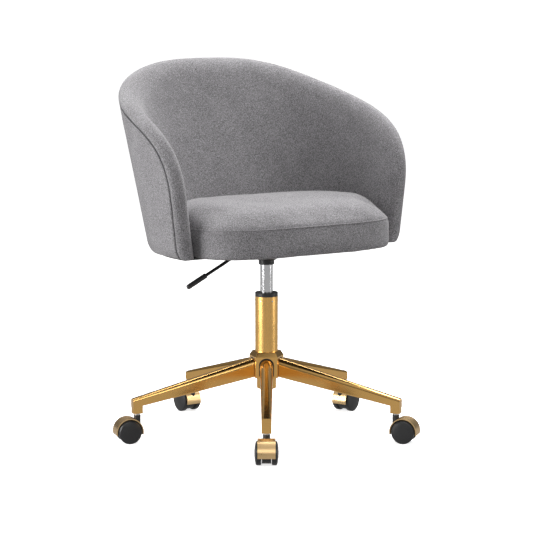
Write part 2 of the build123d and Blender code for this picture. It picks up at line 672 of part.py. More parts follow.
with BuildPart() as dust_cover:
    extrude(seat_sketch(SEAT_UNDERSIDE, COVER_INSET), amount=-COVER_THICKNESS)
    with BuildSketch(Plane.XY.offset(SEAT_UNDERSIDE)):
        RectangleRounded(PLATE_LENGTH + 4, PLATE_WIDTH + 4, 12)
    extrude(amount=-COVER_THICKNESS, mode=Mode.SUBTRACT)
save(dust_cover.part, "dust_cover")


# ================================================================ casters
def make_hood(angle):
    """Curved cover over the wheels, open below, with a hole for the neck."""
    with BuildPart() as hood:
        with BuildSketch(along(angle, STEM_REACH + CASTER_TRAIL, WHEEL_RADIUS)):
            Circle(HOOD_RADIUS)
            Circle(HOOD_RADIUS - HOOD_WALL, mode=Mode.SUBTRACT)
            with Locations((0, -HOOD_DROP)):
                Rectangle(
                    3 * HOOD_RADIUS, 2 * HOOD_RADIUS, align=(Align.CENTER, Align.MAX), mode=Mode.SUBTRACT
                )
        extrude(amount=HOOD_WIDTH / 2, both=True)
        with BuildSketch(turned(angle, STEM_REACH, WHEEL_RADIUS)):
            Circle(NECK_RADIUS)
        extrude(amount=HOOD_RADIUS + 5, mode=Mode.SUBTRACT)
    return hood.part


def make_caster_body(angle):
    """Black core between the wheels, with the neck that turns on the stem."""
    with BuildPart() as body:
        with BuildSketch(along(angle, STEM_REACH + CASTER_TRAIL, WHEEL_RADIUS)):
            with Locations((-CASTER_TRAIL, 0)):
                Rectangle(2 * NECK_RADIUS, HOOD_RADIUS, align=(Align.CENTER, Align.MIN))
            Circle(HOOD_RADIUS - HOOD_WALL, mode=Mode.INTERSECT)
            Circle(CORE_RADIUS)
        extrude(amount=CORE_WIDTH / 2, both=True)
        with BuildSketch(turned(angle, STEM_REACH, WHEEL_RADIUS + 5)):
            Circle(NECK_RADIUS)
        extrude(amount=NECK_TOP - WHEEL_RADIUS - 5)
        with BuildSketch(turned(angle, STEM_REACH, STEM_LOW - 0.5)):
            Circle(STEM_RADIUS + RUNNING_GAP)
        extrude(amount=HOOD_RADIUS, mode=Mode.SUBTRACT)
        with BuildSketch(along(angle, STEM_REACH + CASTER_TRAIL, WHEEL_RADIUS)):
            Circle(AXLE_RADIUS)
        extrude(amount=CORE_WIDTH, both=True, mode=Mode.SUBTRACT)
    return body.part


def make_axle(angle):
    with BuildPart() as axle:
        with BuildSketch(along(angle, STEM_REACH + CASTER_TRAIL, WHEEL_RADIUS)):
            Circle(AXLE_RADIUS)
        extrude(amount=AXLE_HALF_LENGTH, both=True)
    return axle.part


def make_wheel(angle, side):
    """One wheel: blind hub hole, rounded tread, domed outer face."""
    plane = across(angle, STEM_REACH + CASTER_TRAIL, WHEEL_RADIUS)
    with BuildPart() as wheel:
        with BuildSketch(plane):
            with BuildLine():
                hub_end = side * (AXLE_HALF_LENGTH + 0.5)
                bore = AXLE_RADIUS + RUNNING_GAP
                inner, outer = side * WHEEL_INNER, side * WHEEL_OUTER
                shoulder = side * WHEEL_SHOULDER
                dome_side = side * (WHEEL_SHOULDER + 0.72 * (WHEEL_OUTER - WHEEL_SHOULDER))
                outline = Polyline(
                    (hub_end, 0), (hub_end, bore), (inner, bore), (inner, WHEEL_RADIUS - WHEEL_ROUNDING),
                    (inner + side * WHEEL_ROUNDING, WHEEL_RADIUS),
                    (shoulder - side * WHEEL_ROUNDING, WHEEL_RADIUS),
                    (shoulder, WHEEL_RADIUS - WHEEL_ROUNDING),
                )
                ThreePointArc(outline @ 1, (dome_side, WHEEL_RADIUS / 2), (outer, AXLE_RADIUS))
                Polyline((outer, AXLE_RADIUS), (outer, 0), (hub_end, 0))
            make_face()
        revolve(axis=Axis(plane.origin, plane.x_dir))
    return wheel.part


for number, leg_angle in enumerate(LEG_ANGLES, start=1):
    save(make_hood(leg_angle), f"caster_{number}_hood")
    save(make_caster_body(leg_angle), f"caster_{number}_body")
    save(make_axle(leg_angle), f"caster_{number}_axle")
    save(make_wheel(leg_angle, 1), f"caster_{number}_wheel_a")
    save(make_wheel(leg_angle, -1), f"caster_{number}_wheel_b")
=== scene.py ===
from math import atan2, cos, exp, pi, radians, sin

import bpy
import numpy as np
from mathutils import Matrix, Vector, noise
from mathutils.bvhtree import BVHTree


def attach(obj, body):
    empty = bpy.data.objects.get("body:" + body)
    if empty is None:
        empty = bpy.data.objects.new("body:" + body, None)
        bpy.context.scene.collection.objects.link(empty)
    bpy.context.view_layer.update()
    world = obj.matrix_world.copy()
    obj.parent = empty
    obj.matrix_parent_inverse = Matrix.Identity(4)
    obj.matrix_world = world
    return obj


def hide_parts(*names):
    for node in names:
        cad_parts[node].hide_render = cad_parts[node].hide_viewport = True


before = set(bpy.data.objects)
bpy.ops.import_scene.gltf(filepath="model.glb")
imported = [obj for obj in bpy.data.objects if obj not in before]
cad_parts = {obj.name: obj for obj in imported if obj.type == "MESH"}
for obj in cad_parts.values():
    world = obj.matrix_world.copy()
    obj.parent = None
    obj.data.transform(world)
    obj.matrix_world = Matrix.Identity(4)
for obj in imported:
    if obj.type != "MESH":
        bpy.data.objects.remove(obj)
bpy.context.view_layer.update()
scene = bpy.context.scene

# ---------------------------------------------------------------- sizes, in metres
SHELL_CENTRE_Y = -0.0755
SHELL_HALF_WIDTH = 0.289
SHELL_BACK = 0.2205
SHELL_FRONT = 0.333
SHELL_SIDE_FLARE = 0.129
SHELL_BACK_FLARE = 0.297
SHELL_ROUNDNESS = 2.88
SHELL_LOW = 0.414
SHELL_TUCK = 0.0084
SHELL_TUCK_HEIGHT = 0.026
SHELL_TUCK_CURVE = 1.3
SHELL_THICKNESS = 0.0444

SEAM_BACK_Z = 0.7992
SEAM_BACK_SLOPE = radians(36.5)
SEAM_BACK_HANDLE = 0.213
SEAM_FRONT = (-0.0914, 0.538)  # (y, z) where the seam turns upright
SEAM_FRONT_HANDLE = 0.173
SEAM_SINK = 0.0052
SEAM_LIP = 0.0036
ROLL_HEIGHT = 0.0178
ROLL_DROP = 0.022  # how far the roll reaches down the inner face
ROLL_BULGE = 0.0020
# painted shade: depth and radius of the dark tube sunk in the shell's seam crease
SEAM_SHADE_LINE_DEPTH = 0.0012
SEAM_SHADE_LINE_RADIUS = 0.0011
ROLL_STEPS = 14
SEAM_SAMPLES = 1500
ARM_COLUMNS = 66
WALL_ROWS = 44
TUCK_ROWS = 5
INNER_PADDING = 0.003
SHELL_WANDER = ((9.0, 0.0008), (30.0, 0.0003))  # (waves per metre, height)

CUSHION_GAP = 0.0016
CUSHION_START_INSET = 0.003  # it swells by about this much
CUSHION_LOW_INSET = 0.0005
CUSHION_JOIN_Y = -0.040
CUSHION_FRONT = 0.155
CUSHION_FRONT_ROUNDNESS = 3.6
CUSHION_FRONT_BAND = (-0.135, -0.055)  # the front edge's shape gives way to the sides' over these y
CUSHION_CENTRE = (0.0, -0.030)
CUSHION_LOW = 0.4148
CUSHION_SEAM_Z = 0.475
CUSHION_CROWN = 0.5215
CUSHION_FRONT_DIP = 0.006
CUSHION_EDGE_Z = 0.490  # side edges, against the shell
CUSHION_FRONT_FALL = 0.110
CUSHION_FRONT_CURVE = (2.1, 0.75)
CUSHION_SIDE_FALL = 0.052
CUSHION_SIDE_CURVE = (2, 0.5)
CUSHION_UNDER_SCALES = (0.25, 0.5, 0.75, 0.95, 0.985)
CUSHION_BAND_SHARES = (0.06, 0.2, 0.4, 0.6, 0.8, 0.94)
CUSHION_TOP_DISTANCES = (0.0, 0.002, 0.005, 0.009, 0.014, 0.021, 0.030, 0.042, 0.058, 0.078,
                         0.105, 0.14, 0.175)
CUSHION_SMALLEST_RING = 0.03
OUTLINE_POINTS = 144
OUTLINE_SEARCH_STEPS = 720
CUSHION_VOXEL = 0.005
CUSHION_PRESSURE = 4.0
CUSHION_CAP = 0.0035
CUSHION_QUALITY = 5
CUSHION_FRAMES = 20
CUSHION_HELD = 0.004  # the underside stays put up to this height above it
CUSHION_SOFT = (0.012, 0.035)  # smoothing sets in between these heights above the underside
CUSHION_SMOOTHING = 45
CUSHION_WANDER = ((12.0, 0.0009), (40.0, 0.0003))  # (waves per metre, height)
PIPING_POINTS = 160
PIPING_END_Y = -0.03
PIPING_AIM = 0.35  # share of its sideways place by which a point looks inward
PIPING_REACH = 0.05
PIPING_LIFT = 0.0003
PIPING_RADIUS = 0.0013
PIPING_GROOVE = 0.0006
PIPING_GROOVE_WIDTH = 0.004
PIPING_GROOVE_END_Y = -0.02
PIPING_GROOVE_BAND = 0.012

LEG_COUNT = 5
FIRST_LEG_ANGLE = radians(-125)
# painted shade: reach, sizes and foot of the dark arched strips that stand in for the shadow in the
# gaps round the legs' roots
ROOT_SHADE_REACH = (0.0302, 0.0321)
ROOT_SHADE_OUTER = (0.0328, 0.1717)  # (width, top)
ROOT_SHADE_INNER = (0.0294, 0.1700)
ROOT_SHADE_LOW = 0.132
ARCH_STEPS = 16

DUST_TOP = 0.4158
DUST_BOTTOM = 0.4145
DUST_INSET = 0.028
DUST_SAG = 0.0008
DUST_WAVES = 30  # per metre
DUST_RINGS = 14
DUST_OPENING = (0.097, 0.062)  # half its length and half its width
DUST_OPENING_ROUNDNESS = 14

FLOOR_REACH = 150.0
FLOOR_GLOW = 0.72  # the floor as the camera sees it, beyond the light that falls on it
FLOOR_BOUNCE = 0.22
FLOOR_IN_METAL = 0.46
WORLD_STOPS = ((0.0, 0.12), (0.2, 0.16), (0.5, 0.36), (1.0, 0.8))  # (height of the direction, grey)
WORLD_STRENGTH = 0.8
LIGHTS_AIM = (0.0, 0.0, 0.45)
SOFTBOXES = (  # (name, place, (width, height), watts)
    ("softbox_left", (-2.5, 0.4, 0.8), (1.6, 1.5), 66),
    ("softbox_right", (1.9, -1.9, 0.9), (0.8, 1.8), 20),
    ("softbox_front", (-1.3, -2.9, 1.5), (1.4, 1.4), 16),
    ("softbox_top", (0.9, 0.5, 2.3), (1.8, 1.8), 80),
)

CAMERA_AZIMUTH = radians(-35)
CAMERA_DISTANCE = 4.555
CAMERA_HEIGHT = 0.979
CAMERA_PITCH = 0.133
CAMERA_LENS = 142.5
CAMERA_SENSOR = 36.0
CAMERA_CLIP_END = 500.0

# colours
CLOTH_SHADES = ((0.105, 0.100, 0.106), (0.222, 0.215, 0.224), (0.400, 0.390, 0.404))
# painted shade: a darker copy of the cloth, for the tube laid in the shell's seam crease where
# shade falls
SEAM_PAINTED_SHADE_TONES = ((0.050, 0.048, 0.051), (0.095, 0.092, 0.096), (0.170, 0.166, 0.172))
SHADE_PLACES = (0.44, 0.525, 0.61)
WEAVE_PITCH = 0.0015
WEAVE_RELIEF = 0.35
THREAD_SCALES = ((320, 900, 900), (900, 320, 900), (900, 900, 320))
GOLD = (0.95, 0.565, 0.185)
GOLD_PALE = (0.90, 0.62, 0.31)
PLY_BASE = (0.45, 0.30, 0.17)
PLY_DARK = (0.26, 0.15, 0.07)
PLY_LIGHT = (0.55, 0.40, 0.24)
PLY_LAYERS = 170.0  # per metre
COVER_BASE = (0.018, 0.018, 0.019)
COVER_DARK = (0.010, 0.010, 0.011)
COVER_LIGHT = (0.040, 0.040, 0.042)


# ---------------------------------------------------------------- helpers
def smooth_share(value, start, end):
    share = min(max((value - start) / (end - start), 0.0), 1.0)
    return share * share * (3 - 2 * share)


def mesh_object(name, vertices, faces, body, material):
    mesh = bpy.data.meshes.new(name)
    mesh.from_pydata([tuple(v) for v in vertices], [], faces)
    mesh.update()
    piece = bpy.data.objects.new(name, mesh)
    scene.collection.objects.link(piece)
    mesh.materials.append(material)
    mesh.shade_smooth()
    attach(piece, body)
    return piece


def apply_modifiers(piece):
    depsgraph = bpy.context.evaluated_depsgraph_get()
    result = bpy.data.meshes.new_from_object(piece.evaluated_get(depsgraph))
    piece.modifiers.clear()
    piece.data = result
    result.shade_smooth()


def wander(place, waves):
    """Height of a soft unevenness at a place, from (waves per metre, height) pairs."""
    return sum(noise.noise(place * scale) * height for scale, height in waves)


def push_out(piece, amount):
    """Moves every point along its normal by amount(place)."""
    moves = [vertex.normal * amount(vertex.co) for vertex in piece.data.vertices]
    for vertex, move in zip(piece.data.vertices, moves):
        vertex.co += move


def tube_along(name, points, radius, body, material):
    """Thin smooth tube through the points, as a mesh."""
    tube = bpy.data.curves.new(name + "_line", "CURVE")
    tube.dimensions = "3D"
    tube.bevel_depth = radius
    tube.bevel_resolution = 3
    tube.use_fill_caps = True
    spline = tube.splines.new("NURBS")
    spline.points.add(len(points) - 1)
    for point, place in zip(spline.points, points):
        point.co = (*place, 1.0)
    spline.order_u = 4
    spline.use_endpoint_u = True
    curve = bpy.data.objects.new(name + "_line", tube)
    scene.collection.objects.link(curve)
    depsgraph = bpy.context.evaluated_depsgraph_get()
    mesh = bpy.data.meshes.new_from_object(curve.evaluated_get(depsgraph))
    bpy.data.objects.remove(curve)
    piece = bpy.data.objects.new(name, mesh)
    scene.collection.objects.link(piece)
    mesh.materials.clear()
    mesh.materials.append(material)
    mesh.shade_smooth()
    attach(piece, body)
    return piece


def subdivide(piece, levels):
    modifier = piece.modifiers.new("subdivision", "SUBSURF")
    modifier.levels = levels
    modifier.render_levels = levels
    apply_modifiers(piece)


# ---------------------------------------------------------------- materials
class Material:
    """A node material, with its Principled shader as .shader."""

    def __init__(self, name, colour, metallic=0.0, roughness=0.5, **sockets):
        self.material = bpy.data.materials.new(name)
        self.material.use_nodes = True
        self.material.diffuse_color = (*colour, 1.0)
        self.tree = self.material.node_tree
        self.shader = self.tree.nodes["Principled BSDF"]
        self.shader.inputs["Base Color"].default_value = (*colour, 1.0)
        self.shader.inputs["Metallic"].default_value = metallic
        self.shader.inputs["Roughness"].default_value = roughness
        for socket, value in sockets.items():
            self.shader.inputs[socket.replace("_", " ")].default_value = value
        self.coordinates = self.tree.nodes.new("ShaderNodeTexCoord")

    def add(self, kind, inputs=(), **settings):
        node = self.tree.nodes.new("ShaderNode" + kind)
        for name, value in settings.items():
            setattr(node, name, value)
        for socket, value in dict(inputs).items():
            if isinstance(value, bpy.types.NodeSocket):
                self.tree.links.new(value, node.inputs[socket])
            else:
                node.inputs[socket].default_value = value
        return node

    def feed(self, socket, output):
        self.tree.links.new(output, self.shader.inputs[socket])

    def math(self, operation, a, b=0.0, c=0.0):
        return self.add("Math", {0: a, 1: b, 2: c}, operation=operation).outputs[0]

    def noise(self, scale, detail=2.0, roughness=0.5, stretch=(1, 1, 1)):
        space = self.coordinates.outputs["Object"]
        placed = self.add("Mapping", {"Vector": space, "Scale": stretch})
        texture = self.add(
            "TexNoise",
            {"Vector": placed.outputs[0], "Scale": scale, "Detail": detail, "Roughness": roughness},
        )
        return texture.outputs[0]

    def rescale(self, value, low, high, to_low, to_high):
        node = self.add("MapRange", {0: value, 1: low, 2: high, 3: to_low, 4: to_high})
        return node.outputs[0]

    def ramp(self, value, *stops):
        node = self.add("ValToRGB", {0: value})
        elements = node.color_ramp.elements
        while len(elements) < len(stops):
            elements.new(0.5)
        for element, (place, colour) in zip(elements, stops):
            element.position = place
            element.color = (*colour, 1.0)
        return node.outputs[0]

    def bump(self, height, distance, strength=1.0):
        node = self.add("Bump", {"Height": height, "Distance": distance, "Strength": strength})
        self.feed("Normal", node.outputs[0])


def make_fabric(name, shades):
    """Melange linen weave: light and dark threads crossing, in the piece's own space."""
    dark, middle, light = shades
    cloth = Material(name, middle, roughness=0.92, Sheen_Weight=0.22, Sheen_Roughness=0.5)
    cloth.shader.inputs["Specular IOR Level"].default_value = 0.25
    threads = [cloth.noise(1.0, 1.5, 0.6, stretch) for stretch in THREAD_SCALES]
    mixed = cloth.math("ADD", cloth.math("ADD", threads[0], threads[1]), threads[2])
    patches = cloth.noise(24, 2.0)
    shade = cloth.math("ADD", cloth.math("MULTIPLY", mixed, 0.3333),
                       cloth.math("MULTIPLY", patches, 0.05))
    cloth.feed("Base Color", cloth.ramp(shade, *zip(SHADE_PLACES, (dark, middle, light))))
    split = cloth.add("SeparateXYZ", {0: cloth.coordinates.outputs["Object"]})
    facing = cloth.add("SeparateXYZ", {0: cloth.coordinates.outputs["Normal"]})
    waves = [cloth.math("SINE", cloth.math("MULTIPLY", split.outputs[axis], 2 * pi / WEAVE_PITCH))
             for axis in range(3)]
    height = mixed
    for axis in range(3):
        weight = cloth.math("MULTIPLY", facing.outputs[axis], facing.outputs[axis])
        crossing = cloth.math("MULTIPLY", waves[(axis + 1) % 3], waves[(axis + 2) % 3])
        raised = cloth.math("MULTIPLY", crossing, weight)
        height = cloth.math("MULTIPLY_ADD", raised, WEAVE_RELIEF, height)
    cloth.bump(height, 0.0004, 0.7)
    return cloth.material


def make_metal(name, colour, roughness, brushed, scratch=0.000008):
    """Metal with fine brush marks; brushed is their frequency along each axis."""
    metal = Material(name, colour, metallic=1.0, roughness=roughness)
    grain = metal.noise(1.0, 3.0, 0.6, brushed)
    cloud = metal.noise(18, 2.0)
    total = metal.math("ADD", metal.math("MULTIPLY", grain, 0.6),
                       metal.math("MULTIPLY", cloud, 0.4))
    metal.feed("Roughness", metal.rescale(total, 0.3, 0.7, roughness * 0.75, roughness * 1.3))
    tint = metal.ramp(cloud, (0.3, tuple(0.95 * c for c in colour)), (0.7, colour))
    metal.feed("Base Color", tint)
    metal.bump(grain, scratch, 0.06)
    return metal.material


def make_plastic(name, colour, roughness, grain_scale, depth):
    """Moulded plastic or paint with a fine grain of this depth."""
    plastic = Material(name, colour, roughness=roughness)
    grain = plastic.noise(grain_scale, 2.0)
    cloud = plastic.noise(30, 3.0)
    worn = plastic.rescale(cloud, 0.3, 0.7, roughness * 0.85, roughness * 1.15)
    plastic.feed("Roughness", worn)
    tint = plastic.ramp(cloud, (0.3, tuple(0.8 * c for c in colour)), (0.7, colour))
    plastic.feed("Base Color", tint)
    plastic.bump(grain, depth, 0.6)
    return plastic.material


def make_plywood():
    wood = Material("plywood_layers", PLY_BASE, roughness=0.65)
    layers = wood.add("TexWave", {"Vector": wood.coordinates.outputs["Object"],
                                  "Scale": PLY_LAYERS, "Distortion": 1.0}, bands_direction="Z")
    grain = wood.noise(1.0, 4.0, 0.6, (8, 300, 300))
    mixed = wood.math("ADD", wood.math("MULTIPLY", layers.outputs["Fac"], 0.3),
                      wood.math("MULTIPLY", grain, 0.7))
    wood.feed("Base Color", wood.ramp(mixed, (0.3, PLY_DARK), (0.7, PLY_LIGHT)))
    wood.bump(grain, 0.0003, 0.5)
    return wood.material


def make_cover():
    felt = Material("cover_nonwoven", COVER_BASE, roughness=0.9)
    fibres = felt.noise(700, 4.0, 0.7)
    felt.feed("Base Color", felt.ramp(fibres, (0.35, COVER_DARK), (0.7, COVER_LIGHT)))
    felt.bump(fibres, 0.0004, 0.7)
    return felt.material


fabric = make_fabric("fabric_melange", CLOTH_SHADES)
# darker copy of the cloth: painted shade for the shell's seam crease
fabric_painted_shade = make_fabric("fabric_seam_painted_shade", SEAM_PAINTED_SHADE_TONES)
cover = make_cover()
gold_polished = make_metal("gold_polished", GOLD, 0.17, (60, 60, 1400))
gold_satin = make_metal("gold_satin", GOLD, 0.27, (900, 900, 40))
gold_hood = make_metal("gold_hood", GOLD_PALE, 0.30, (500, 500, 500))
finishes = {
    "gold": gold_polished,
    "black_plastic": make_plastic(
        "black_plastic_grained", (0.022, 0.022, 0.023), 0.42, grain_scale=900, depth=0.0001),
    "wheel_black": make_plastic(
        "wheel_black_moulded", (0.026, 0.026, 0.027), 0.38, grain_scale=500, depth=0.00008),
    "black_steel": make_plastic(
        "black_steel_painted", (0.012, 0.012, 0.013), 0.24, grain_scale=260, depth=0.00006),
    "steel": make_metal("steel_turned", (0.62, 0.61, 0.60), 0.28, (40, 40, 1500)),
    "chrome": make_metal(
        "chrome_polished", (0.78, 0.78, 0.79), 0.12, (40, 40, 900), scratch=0.000002),
    "plywood": make_plywood(),
    "fabric": fabric,
    "cover": cover,
}
for name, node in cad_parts.items():
    for slot in node.material_slots:
        given = slot.material.name if slot.material else ""
        finish = finishes.get(given.split(".")[0])
        if name == "column_tube":
            finish = gold_satin
        # The rivets take the grey steel finish, not the gold, to make them darker: this stands in
        # for the shade in their dimples (painted shade).
        elif name == "tube_rivets":
            finish = finishes["steel"]
        elif name.endswith("hood"):
            finish = gold_hood
        if finish is None:
            raise ValueError(f"no finish for {name}: {given or None}")
        slot.material = finish


# ---------------------------------------------------------------- upholstered shell
def outline_reach(angle, height, inset):
    """From the shell's centre to its wall; angle 0 is the middle of the back."""
    rise = height - SHELL_LOW
    side = SHELL_HALF_WIDTH + SHELL_SIDE_FLARE * rise - inset
    back = SHELL_BACK + SHELL_BACK_FLARE * rise - inset
    depth = back if cos(angle) > 0 else SHELL_FRONT - inset
    n = SHELL_ROUNDNESS
    return (abs(sin(angle) / side) ** n + abs(cos(angle) / depth) ** n) ** (-1 / n)


def tuck_at(height):
    """How far the outer wall pulls in near its bottom edge."""
    share = min(max((height - SHELL_LOW) / SHELL_TUCK_HEIGHT, 0.0), 1.0)
    return SHELL_TUCK * (1 - sin(pi / 2 * share)) ** SHELL_TUCK_CURVE


def shell_point(angle, height, inset=0.0):
    reach = outline_reach(angle, height, inset)
    return Vector((reach * sin(angle), SHELL_CENTRE_Y + reach * cos(angle), height))


def shell_normal(angle, height):
    turn, rise = 0.01, 0.001
    along = shell_point(angle + turn, height) - shell_point(angle - turn, height)
    up = shell_point(angle, height + rise) - shell_point(angle, height)
    normal = along.cross(up).normalized()
    outward = Vector((sin(angle), cos(angle), 0))
    return normal if normal.dot(outward) > 0 else -normal


def seam_side_view(share):
    """(y, z) of the outer seam from the side, from the middle of the back to the arm's front."""
    back_y = SHELL_CENTRE_Y + SHELL_BACK + SHELL_BACK_FLARE * (SEAM_BACK_Z - SHELL_LOW)
    corners = (
        (back_y, SEAM_BACK_Z),
        (back_y - SEAM_BACK_HANDLE * cos(SEAM_BACK_SLOPE),
         SEAM_BACK_Z - SEAM_BACK_HANDLE * sin(SEAM_BACK_SLOPE)),
        (SEAM_FRONT[0], SEAM_FRONT[1] + SEAM_FRONT_HANDLE),
        SEAM_FRONT,
    )
    weights = (
        (1 - share) ** 3,
        3 * share * (1 - share) ** 2,
        3 * share ** 2 * (1 - share),
        share ** 3,
    )
    return tuple(sum(w * corner[axis] for w, corner in zip(weights, corners)) for axis in (0, 1))


def seam_angle(y, z):
    """Angle at which the wall at height z has this y."""
    rise = z - SHELL_LOW
    side = SHELL_HALF_WIDTH + SHELL_SIDE_FLARE * rise
    depth = SHELL_BACK + SHELL_BACK_FLARE * rise if y > SHELL_CENTRE_Y else SHELL_FRONT
    n = SHELL_ROUNDNESS
    x = side * max(1 - (abs(y - SHELL_CENTRE_Y) / depth) ** n, 0) ** (1 / n)
    return atan2(x, y - SHELL_CENTRE_Y)


def even_steps(points, count):
    """Indices of count + 1 points spread evenly along the line through points."""
    lengths = np.cumsum([0.0] + [(b - a).length for a, b in zip(points, points[1:])])
    targets = np.linspace(0, lengths[-1], count + 1)
    return [int(np.argmin(abs(lengths - target))) for target in targets]


def half_seam():
    """(angle, height) along one arm's seam, from the middle of the back down to the arm's foot."""
    samples = []
    for step in range(SEAM_SAMPLES + 1):
        y, z = seam_side_view((step / SEAM_SAMPLES) ** SHELL_ROUNDNESS)
        samples.append((seam_angle(y, z), z))
    samples[0] = (0.0, samples[0][1])
    points = [shell_point(angle, z) for angle, z in samples]
    return [samples[index] for index in even_steps(points, ARM_COLUMNS)]


def row_heights(top):
    """Heights of a wall column's rows, from the foot up to top; the lowest ones follow the tuck."""
    tuck = [SHELL_LOW + SHELL_TUCK_HEIGHT * (row / TUCK_ROWS) for row in range(TUCK_ROWS)]
    start = SHELL_LOW + SHELL_TUCK_HEIGHT
    count = WALL_ROWS - TUCK_ROWS
    return tuck + [start + (top - start) * row / count for row in range(count + 1)]


def full_seam():
    """(angle, height) along the whole seam: left foot, left arm, back, right arm, right foot."""
    arm = half_seam()
    foot_angle, foot_top = arm[-1]
    upright = [(foot_angle, z) for z in row_heights(foot_top)]
    right = arm[1:] + upright[-2::-1]
    left = [(-angle, z) for angle, z in reversed(right)]
    return left + [arm[0]] + right


def seam_frames(seam):
    """For each seam point: place, vector through the wall, direction off the edge, normal."""
    places = [shell_point(angle, z, tuck_at(z)) for angle, z in seam]
    frames = []
    for index, (angle, z) in enumerate(seam):
        before = places[max(index - 1, 0)]
        after = places[min(index + 1, len(places) - 1)]
        tangent = (after - before).normalized()
        normal = shell_normal(angle, z)
        edge = tangent.cross(normal).normalized()
        upright_part = abs(edge.z) <= 0.05
        if edge.z < -0.05 or (upright_part and edge.y > 0):
            edge = -edge
        through = shell_point(angle, z, SHELL_THICKNESS) - places[index]
        frames.append((places[index], through, edge, normal))
    return frames


def roll_section(place, through, edge, normal):
    """Points across the rim: the wall's lip, the sunk seam, the padded roll, the inner face."""
    section = [place - edge * SEAM_LIP, place - normal * SEAM_SINK]
    for step in range(1, ROLL_STEPS + 1):
        turn = pi * step / ROLL_STEPS
        across = through * ((1 - cos(turn)) / 2)
        bulge = normal * (ROLL_BULGE * sin(turn) * max(cos(turn), 0) * 2)
        height = ROLL_HEIGHT * sin(turn)
        if turn > pi / 2:
            height = (ROLL_HEIGHT + ROLL_DROP) * sin(turn) - ROLL_DROP
        section.append(place + across + edge * height + bulge)
    return section


def build_shell():
    """One closed sheet: outer wall, rim, inner face, bottom edge and the ends of the two feet."""
    seam = full_seam()
    sections = [roll_section(*seam_frame) for seam_frame in seam_frames(seam)]
    columns = range(WALL_ROWS, len(seam) - WALL_ROWS)
    foot_edges = {
        columns[0]: range(WALL_ROWS + 1),
        columns[-1]: range(len(seam) - 1, len(seam) - WALL_ROWS - 2, -1),
    }
    vertices = []
    faces = []

    def add(point):
        vertices.append(point)
        return len(vertices) - 1

    rim = [[add(point) for point in section] for section in sections]

    def wall(edge_of, inset, flip):
        """Grid of vertex numbers below the rim; edge_of gives the rim vertex that bounds it."""
        grid = []
        for column in columns:
            if column in foot_edges:
                grid.append([edge_of(index) for index in foot_edges[column]])
                continue
            edge = vertices[edge_of(column)]
            angle = atan2(edge.x, edge.y - SHELL_CENTRE_Y)
            line = []
            for z in row_heights(edge.z)[:-1]:
                share = (z - SHELL_LOW) / (edge.z - SHELL_LOW)
                depth = inset + INNER_PADDING * sin(pi * share) if inset else tuck_at(z)
                line.append(add(shell_point(angle, z, depth)))
            grid.append(line + [edge_of(column)])
        for left, right in zip(grid, grid[1:]):
            for row in range(WALL_ROWS):
                face = (left[row], right[row], right[row + 1], left[row + 1])
                faces.append(face[::-1] if flip else face)
        return grid

    outer = wall(lambda index: rim[index][0], 0.0, True)
    inner = wall(lambda index: rim[index][-1], SHELL_THICKNESS, False)
    for a, b in zip(rim, rim[1:]):
        for step in range(len(a) - 1):
            faces.append((a[step], a[step + 1], b[step + 1], b[step]))
    for left in range(len(outer) - 1):
        right = left + 1
        faces.append((outer[left][0], outer[right][0], inner[right][0], inner[left][0]))
    faces.append(tuple(rim[0][::-1]))
    faces.append(tuple(rim[-1]))
    return vertices, faces


vertices, faces = build_shell()
shell = mesh_object("shell_upholstery", vertices, faces, "seat", fabric)
subdivide(shell, 1)
push_out(shell, lambda place: wander(place, SHELL_WANDER))
# a dark tube in the darker cloth, sunk in the seam's crease: painted shade along the shell's seam
seam_places = [place - normal * SEAM_SHADE_LINE_DEPTH for place, _, _, normal in seam_frames(full_seam())]
seam_shade_line = tube_along("shell_seam_painted_shade", seam_places, SEAM_SHADE_LINE_RADIUS, "seat", fabric_painted_shade)
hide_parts("back_shell")


# ---------------------------------------------------------------- seat cushion
def cushion_outline(height, inset, count=OUTLINE_POINTS):
    """Seat outline at one height: the shell's inner face, then a rounded front edge."""
    wall_inset = SHELL_THICKNESS + CUSHION_GAP + inset
    angles = (pi * step / OUTLINE_SEARCH_STEPS for step in range(OUTLINE_SEARCH_STEPS))
    start = next(angle for angle in angles
                 if shell_point(angle, height, wall_inset).y < CUSHION_JOIN_Y)
    half_width = shell_point(start, height, wall_inset).x
    depth = CUSHION_FRONT - inset
    n = CUSHION_FRONT_ROUNDNESS
    points = []
    for step in range(count):
        turn = 2 * pi * step / count
        direction = Vector((sin(turn), -cos(turn), 0))
        if cos(turn) > 0 or abs(turn - pi) > pi / 2 - 0.001:
            reach = (abs(sin(turn) / half_width) ** n + abs(cos(turn) / depth) ** n) ** (-1 / n)
            points.append(Vector((0, CUSHION_JOIN_Y, height)) + direction * reach)
        else:
            angle = start * (pi - turn) / (pi / 2)
            points.append(shell_point(angle, height, wall_inset))
    return points


def front_share(y):
    return 1 - smooth_share(y, *CUSHION_FRONT_BAND)


def fall_share(edge_distance, fall, curve):
    """Rises from 0 at the edge to 1 at the fall's end."""
    steepness, roundness = curve
    return (1 - (1 - min(edge_distance / fall, 1)) ** steepness) ** roundness


def cushion_top(edge_distance, front):
    """Height of the top in from the edge: a long fall at the front, a tight one at the sides."""
    front_rise = fall_share(edge_distance, CUSHION_FRONT_FALL, CUSHION_FRONT_CURVE)
    side_rise = fall_share(edge_distance, CUSHION_SIDE_FALL, CUSHION_SIDE_CURVE)
    crown = CUSHION_CROWN - CUSHION_FRONT_DIP * front
    front_z = CUSHION_SEAM_Z + (crown - CUSHION_SEAM_Z) * front_rise
    side_z = CUSHION_EDGE_Z + (crown - CUSHION_EDGE_Z) * side_rise
    return side_z + (front_z - side_z) * front


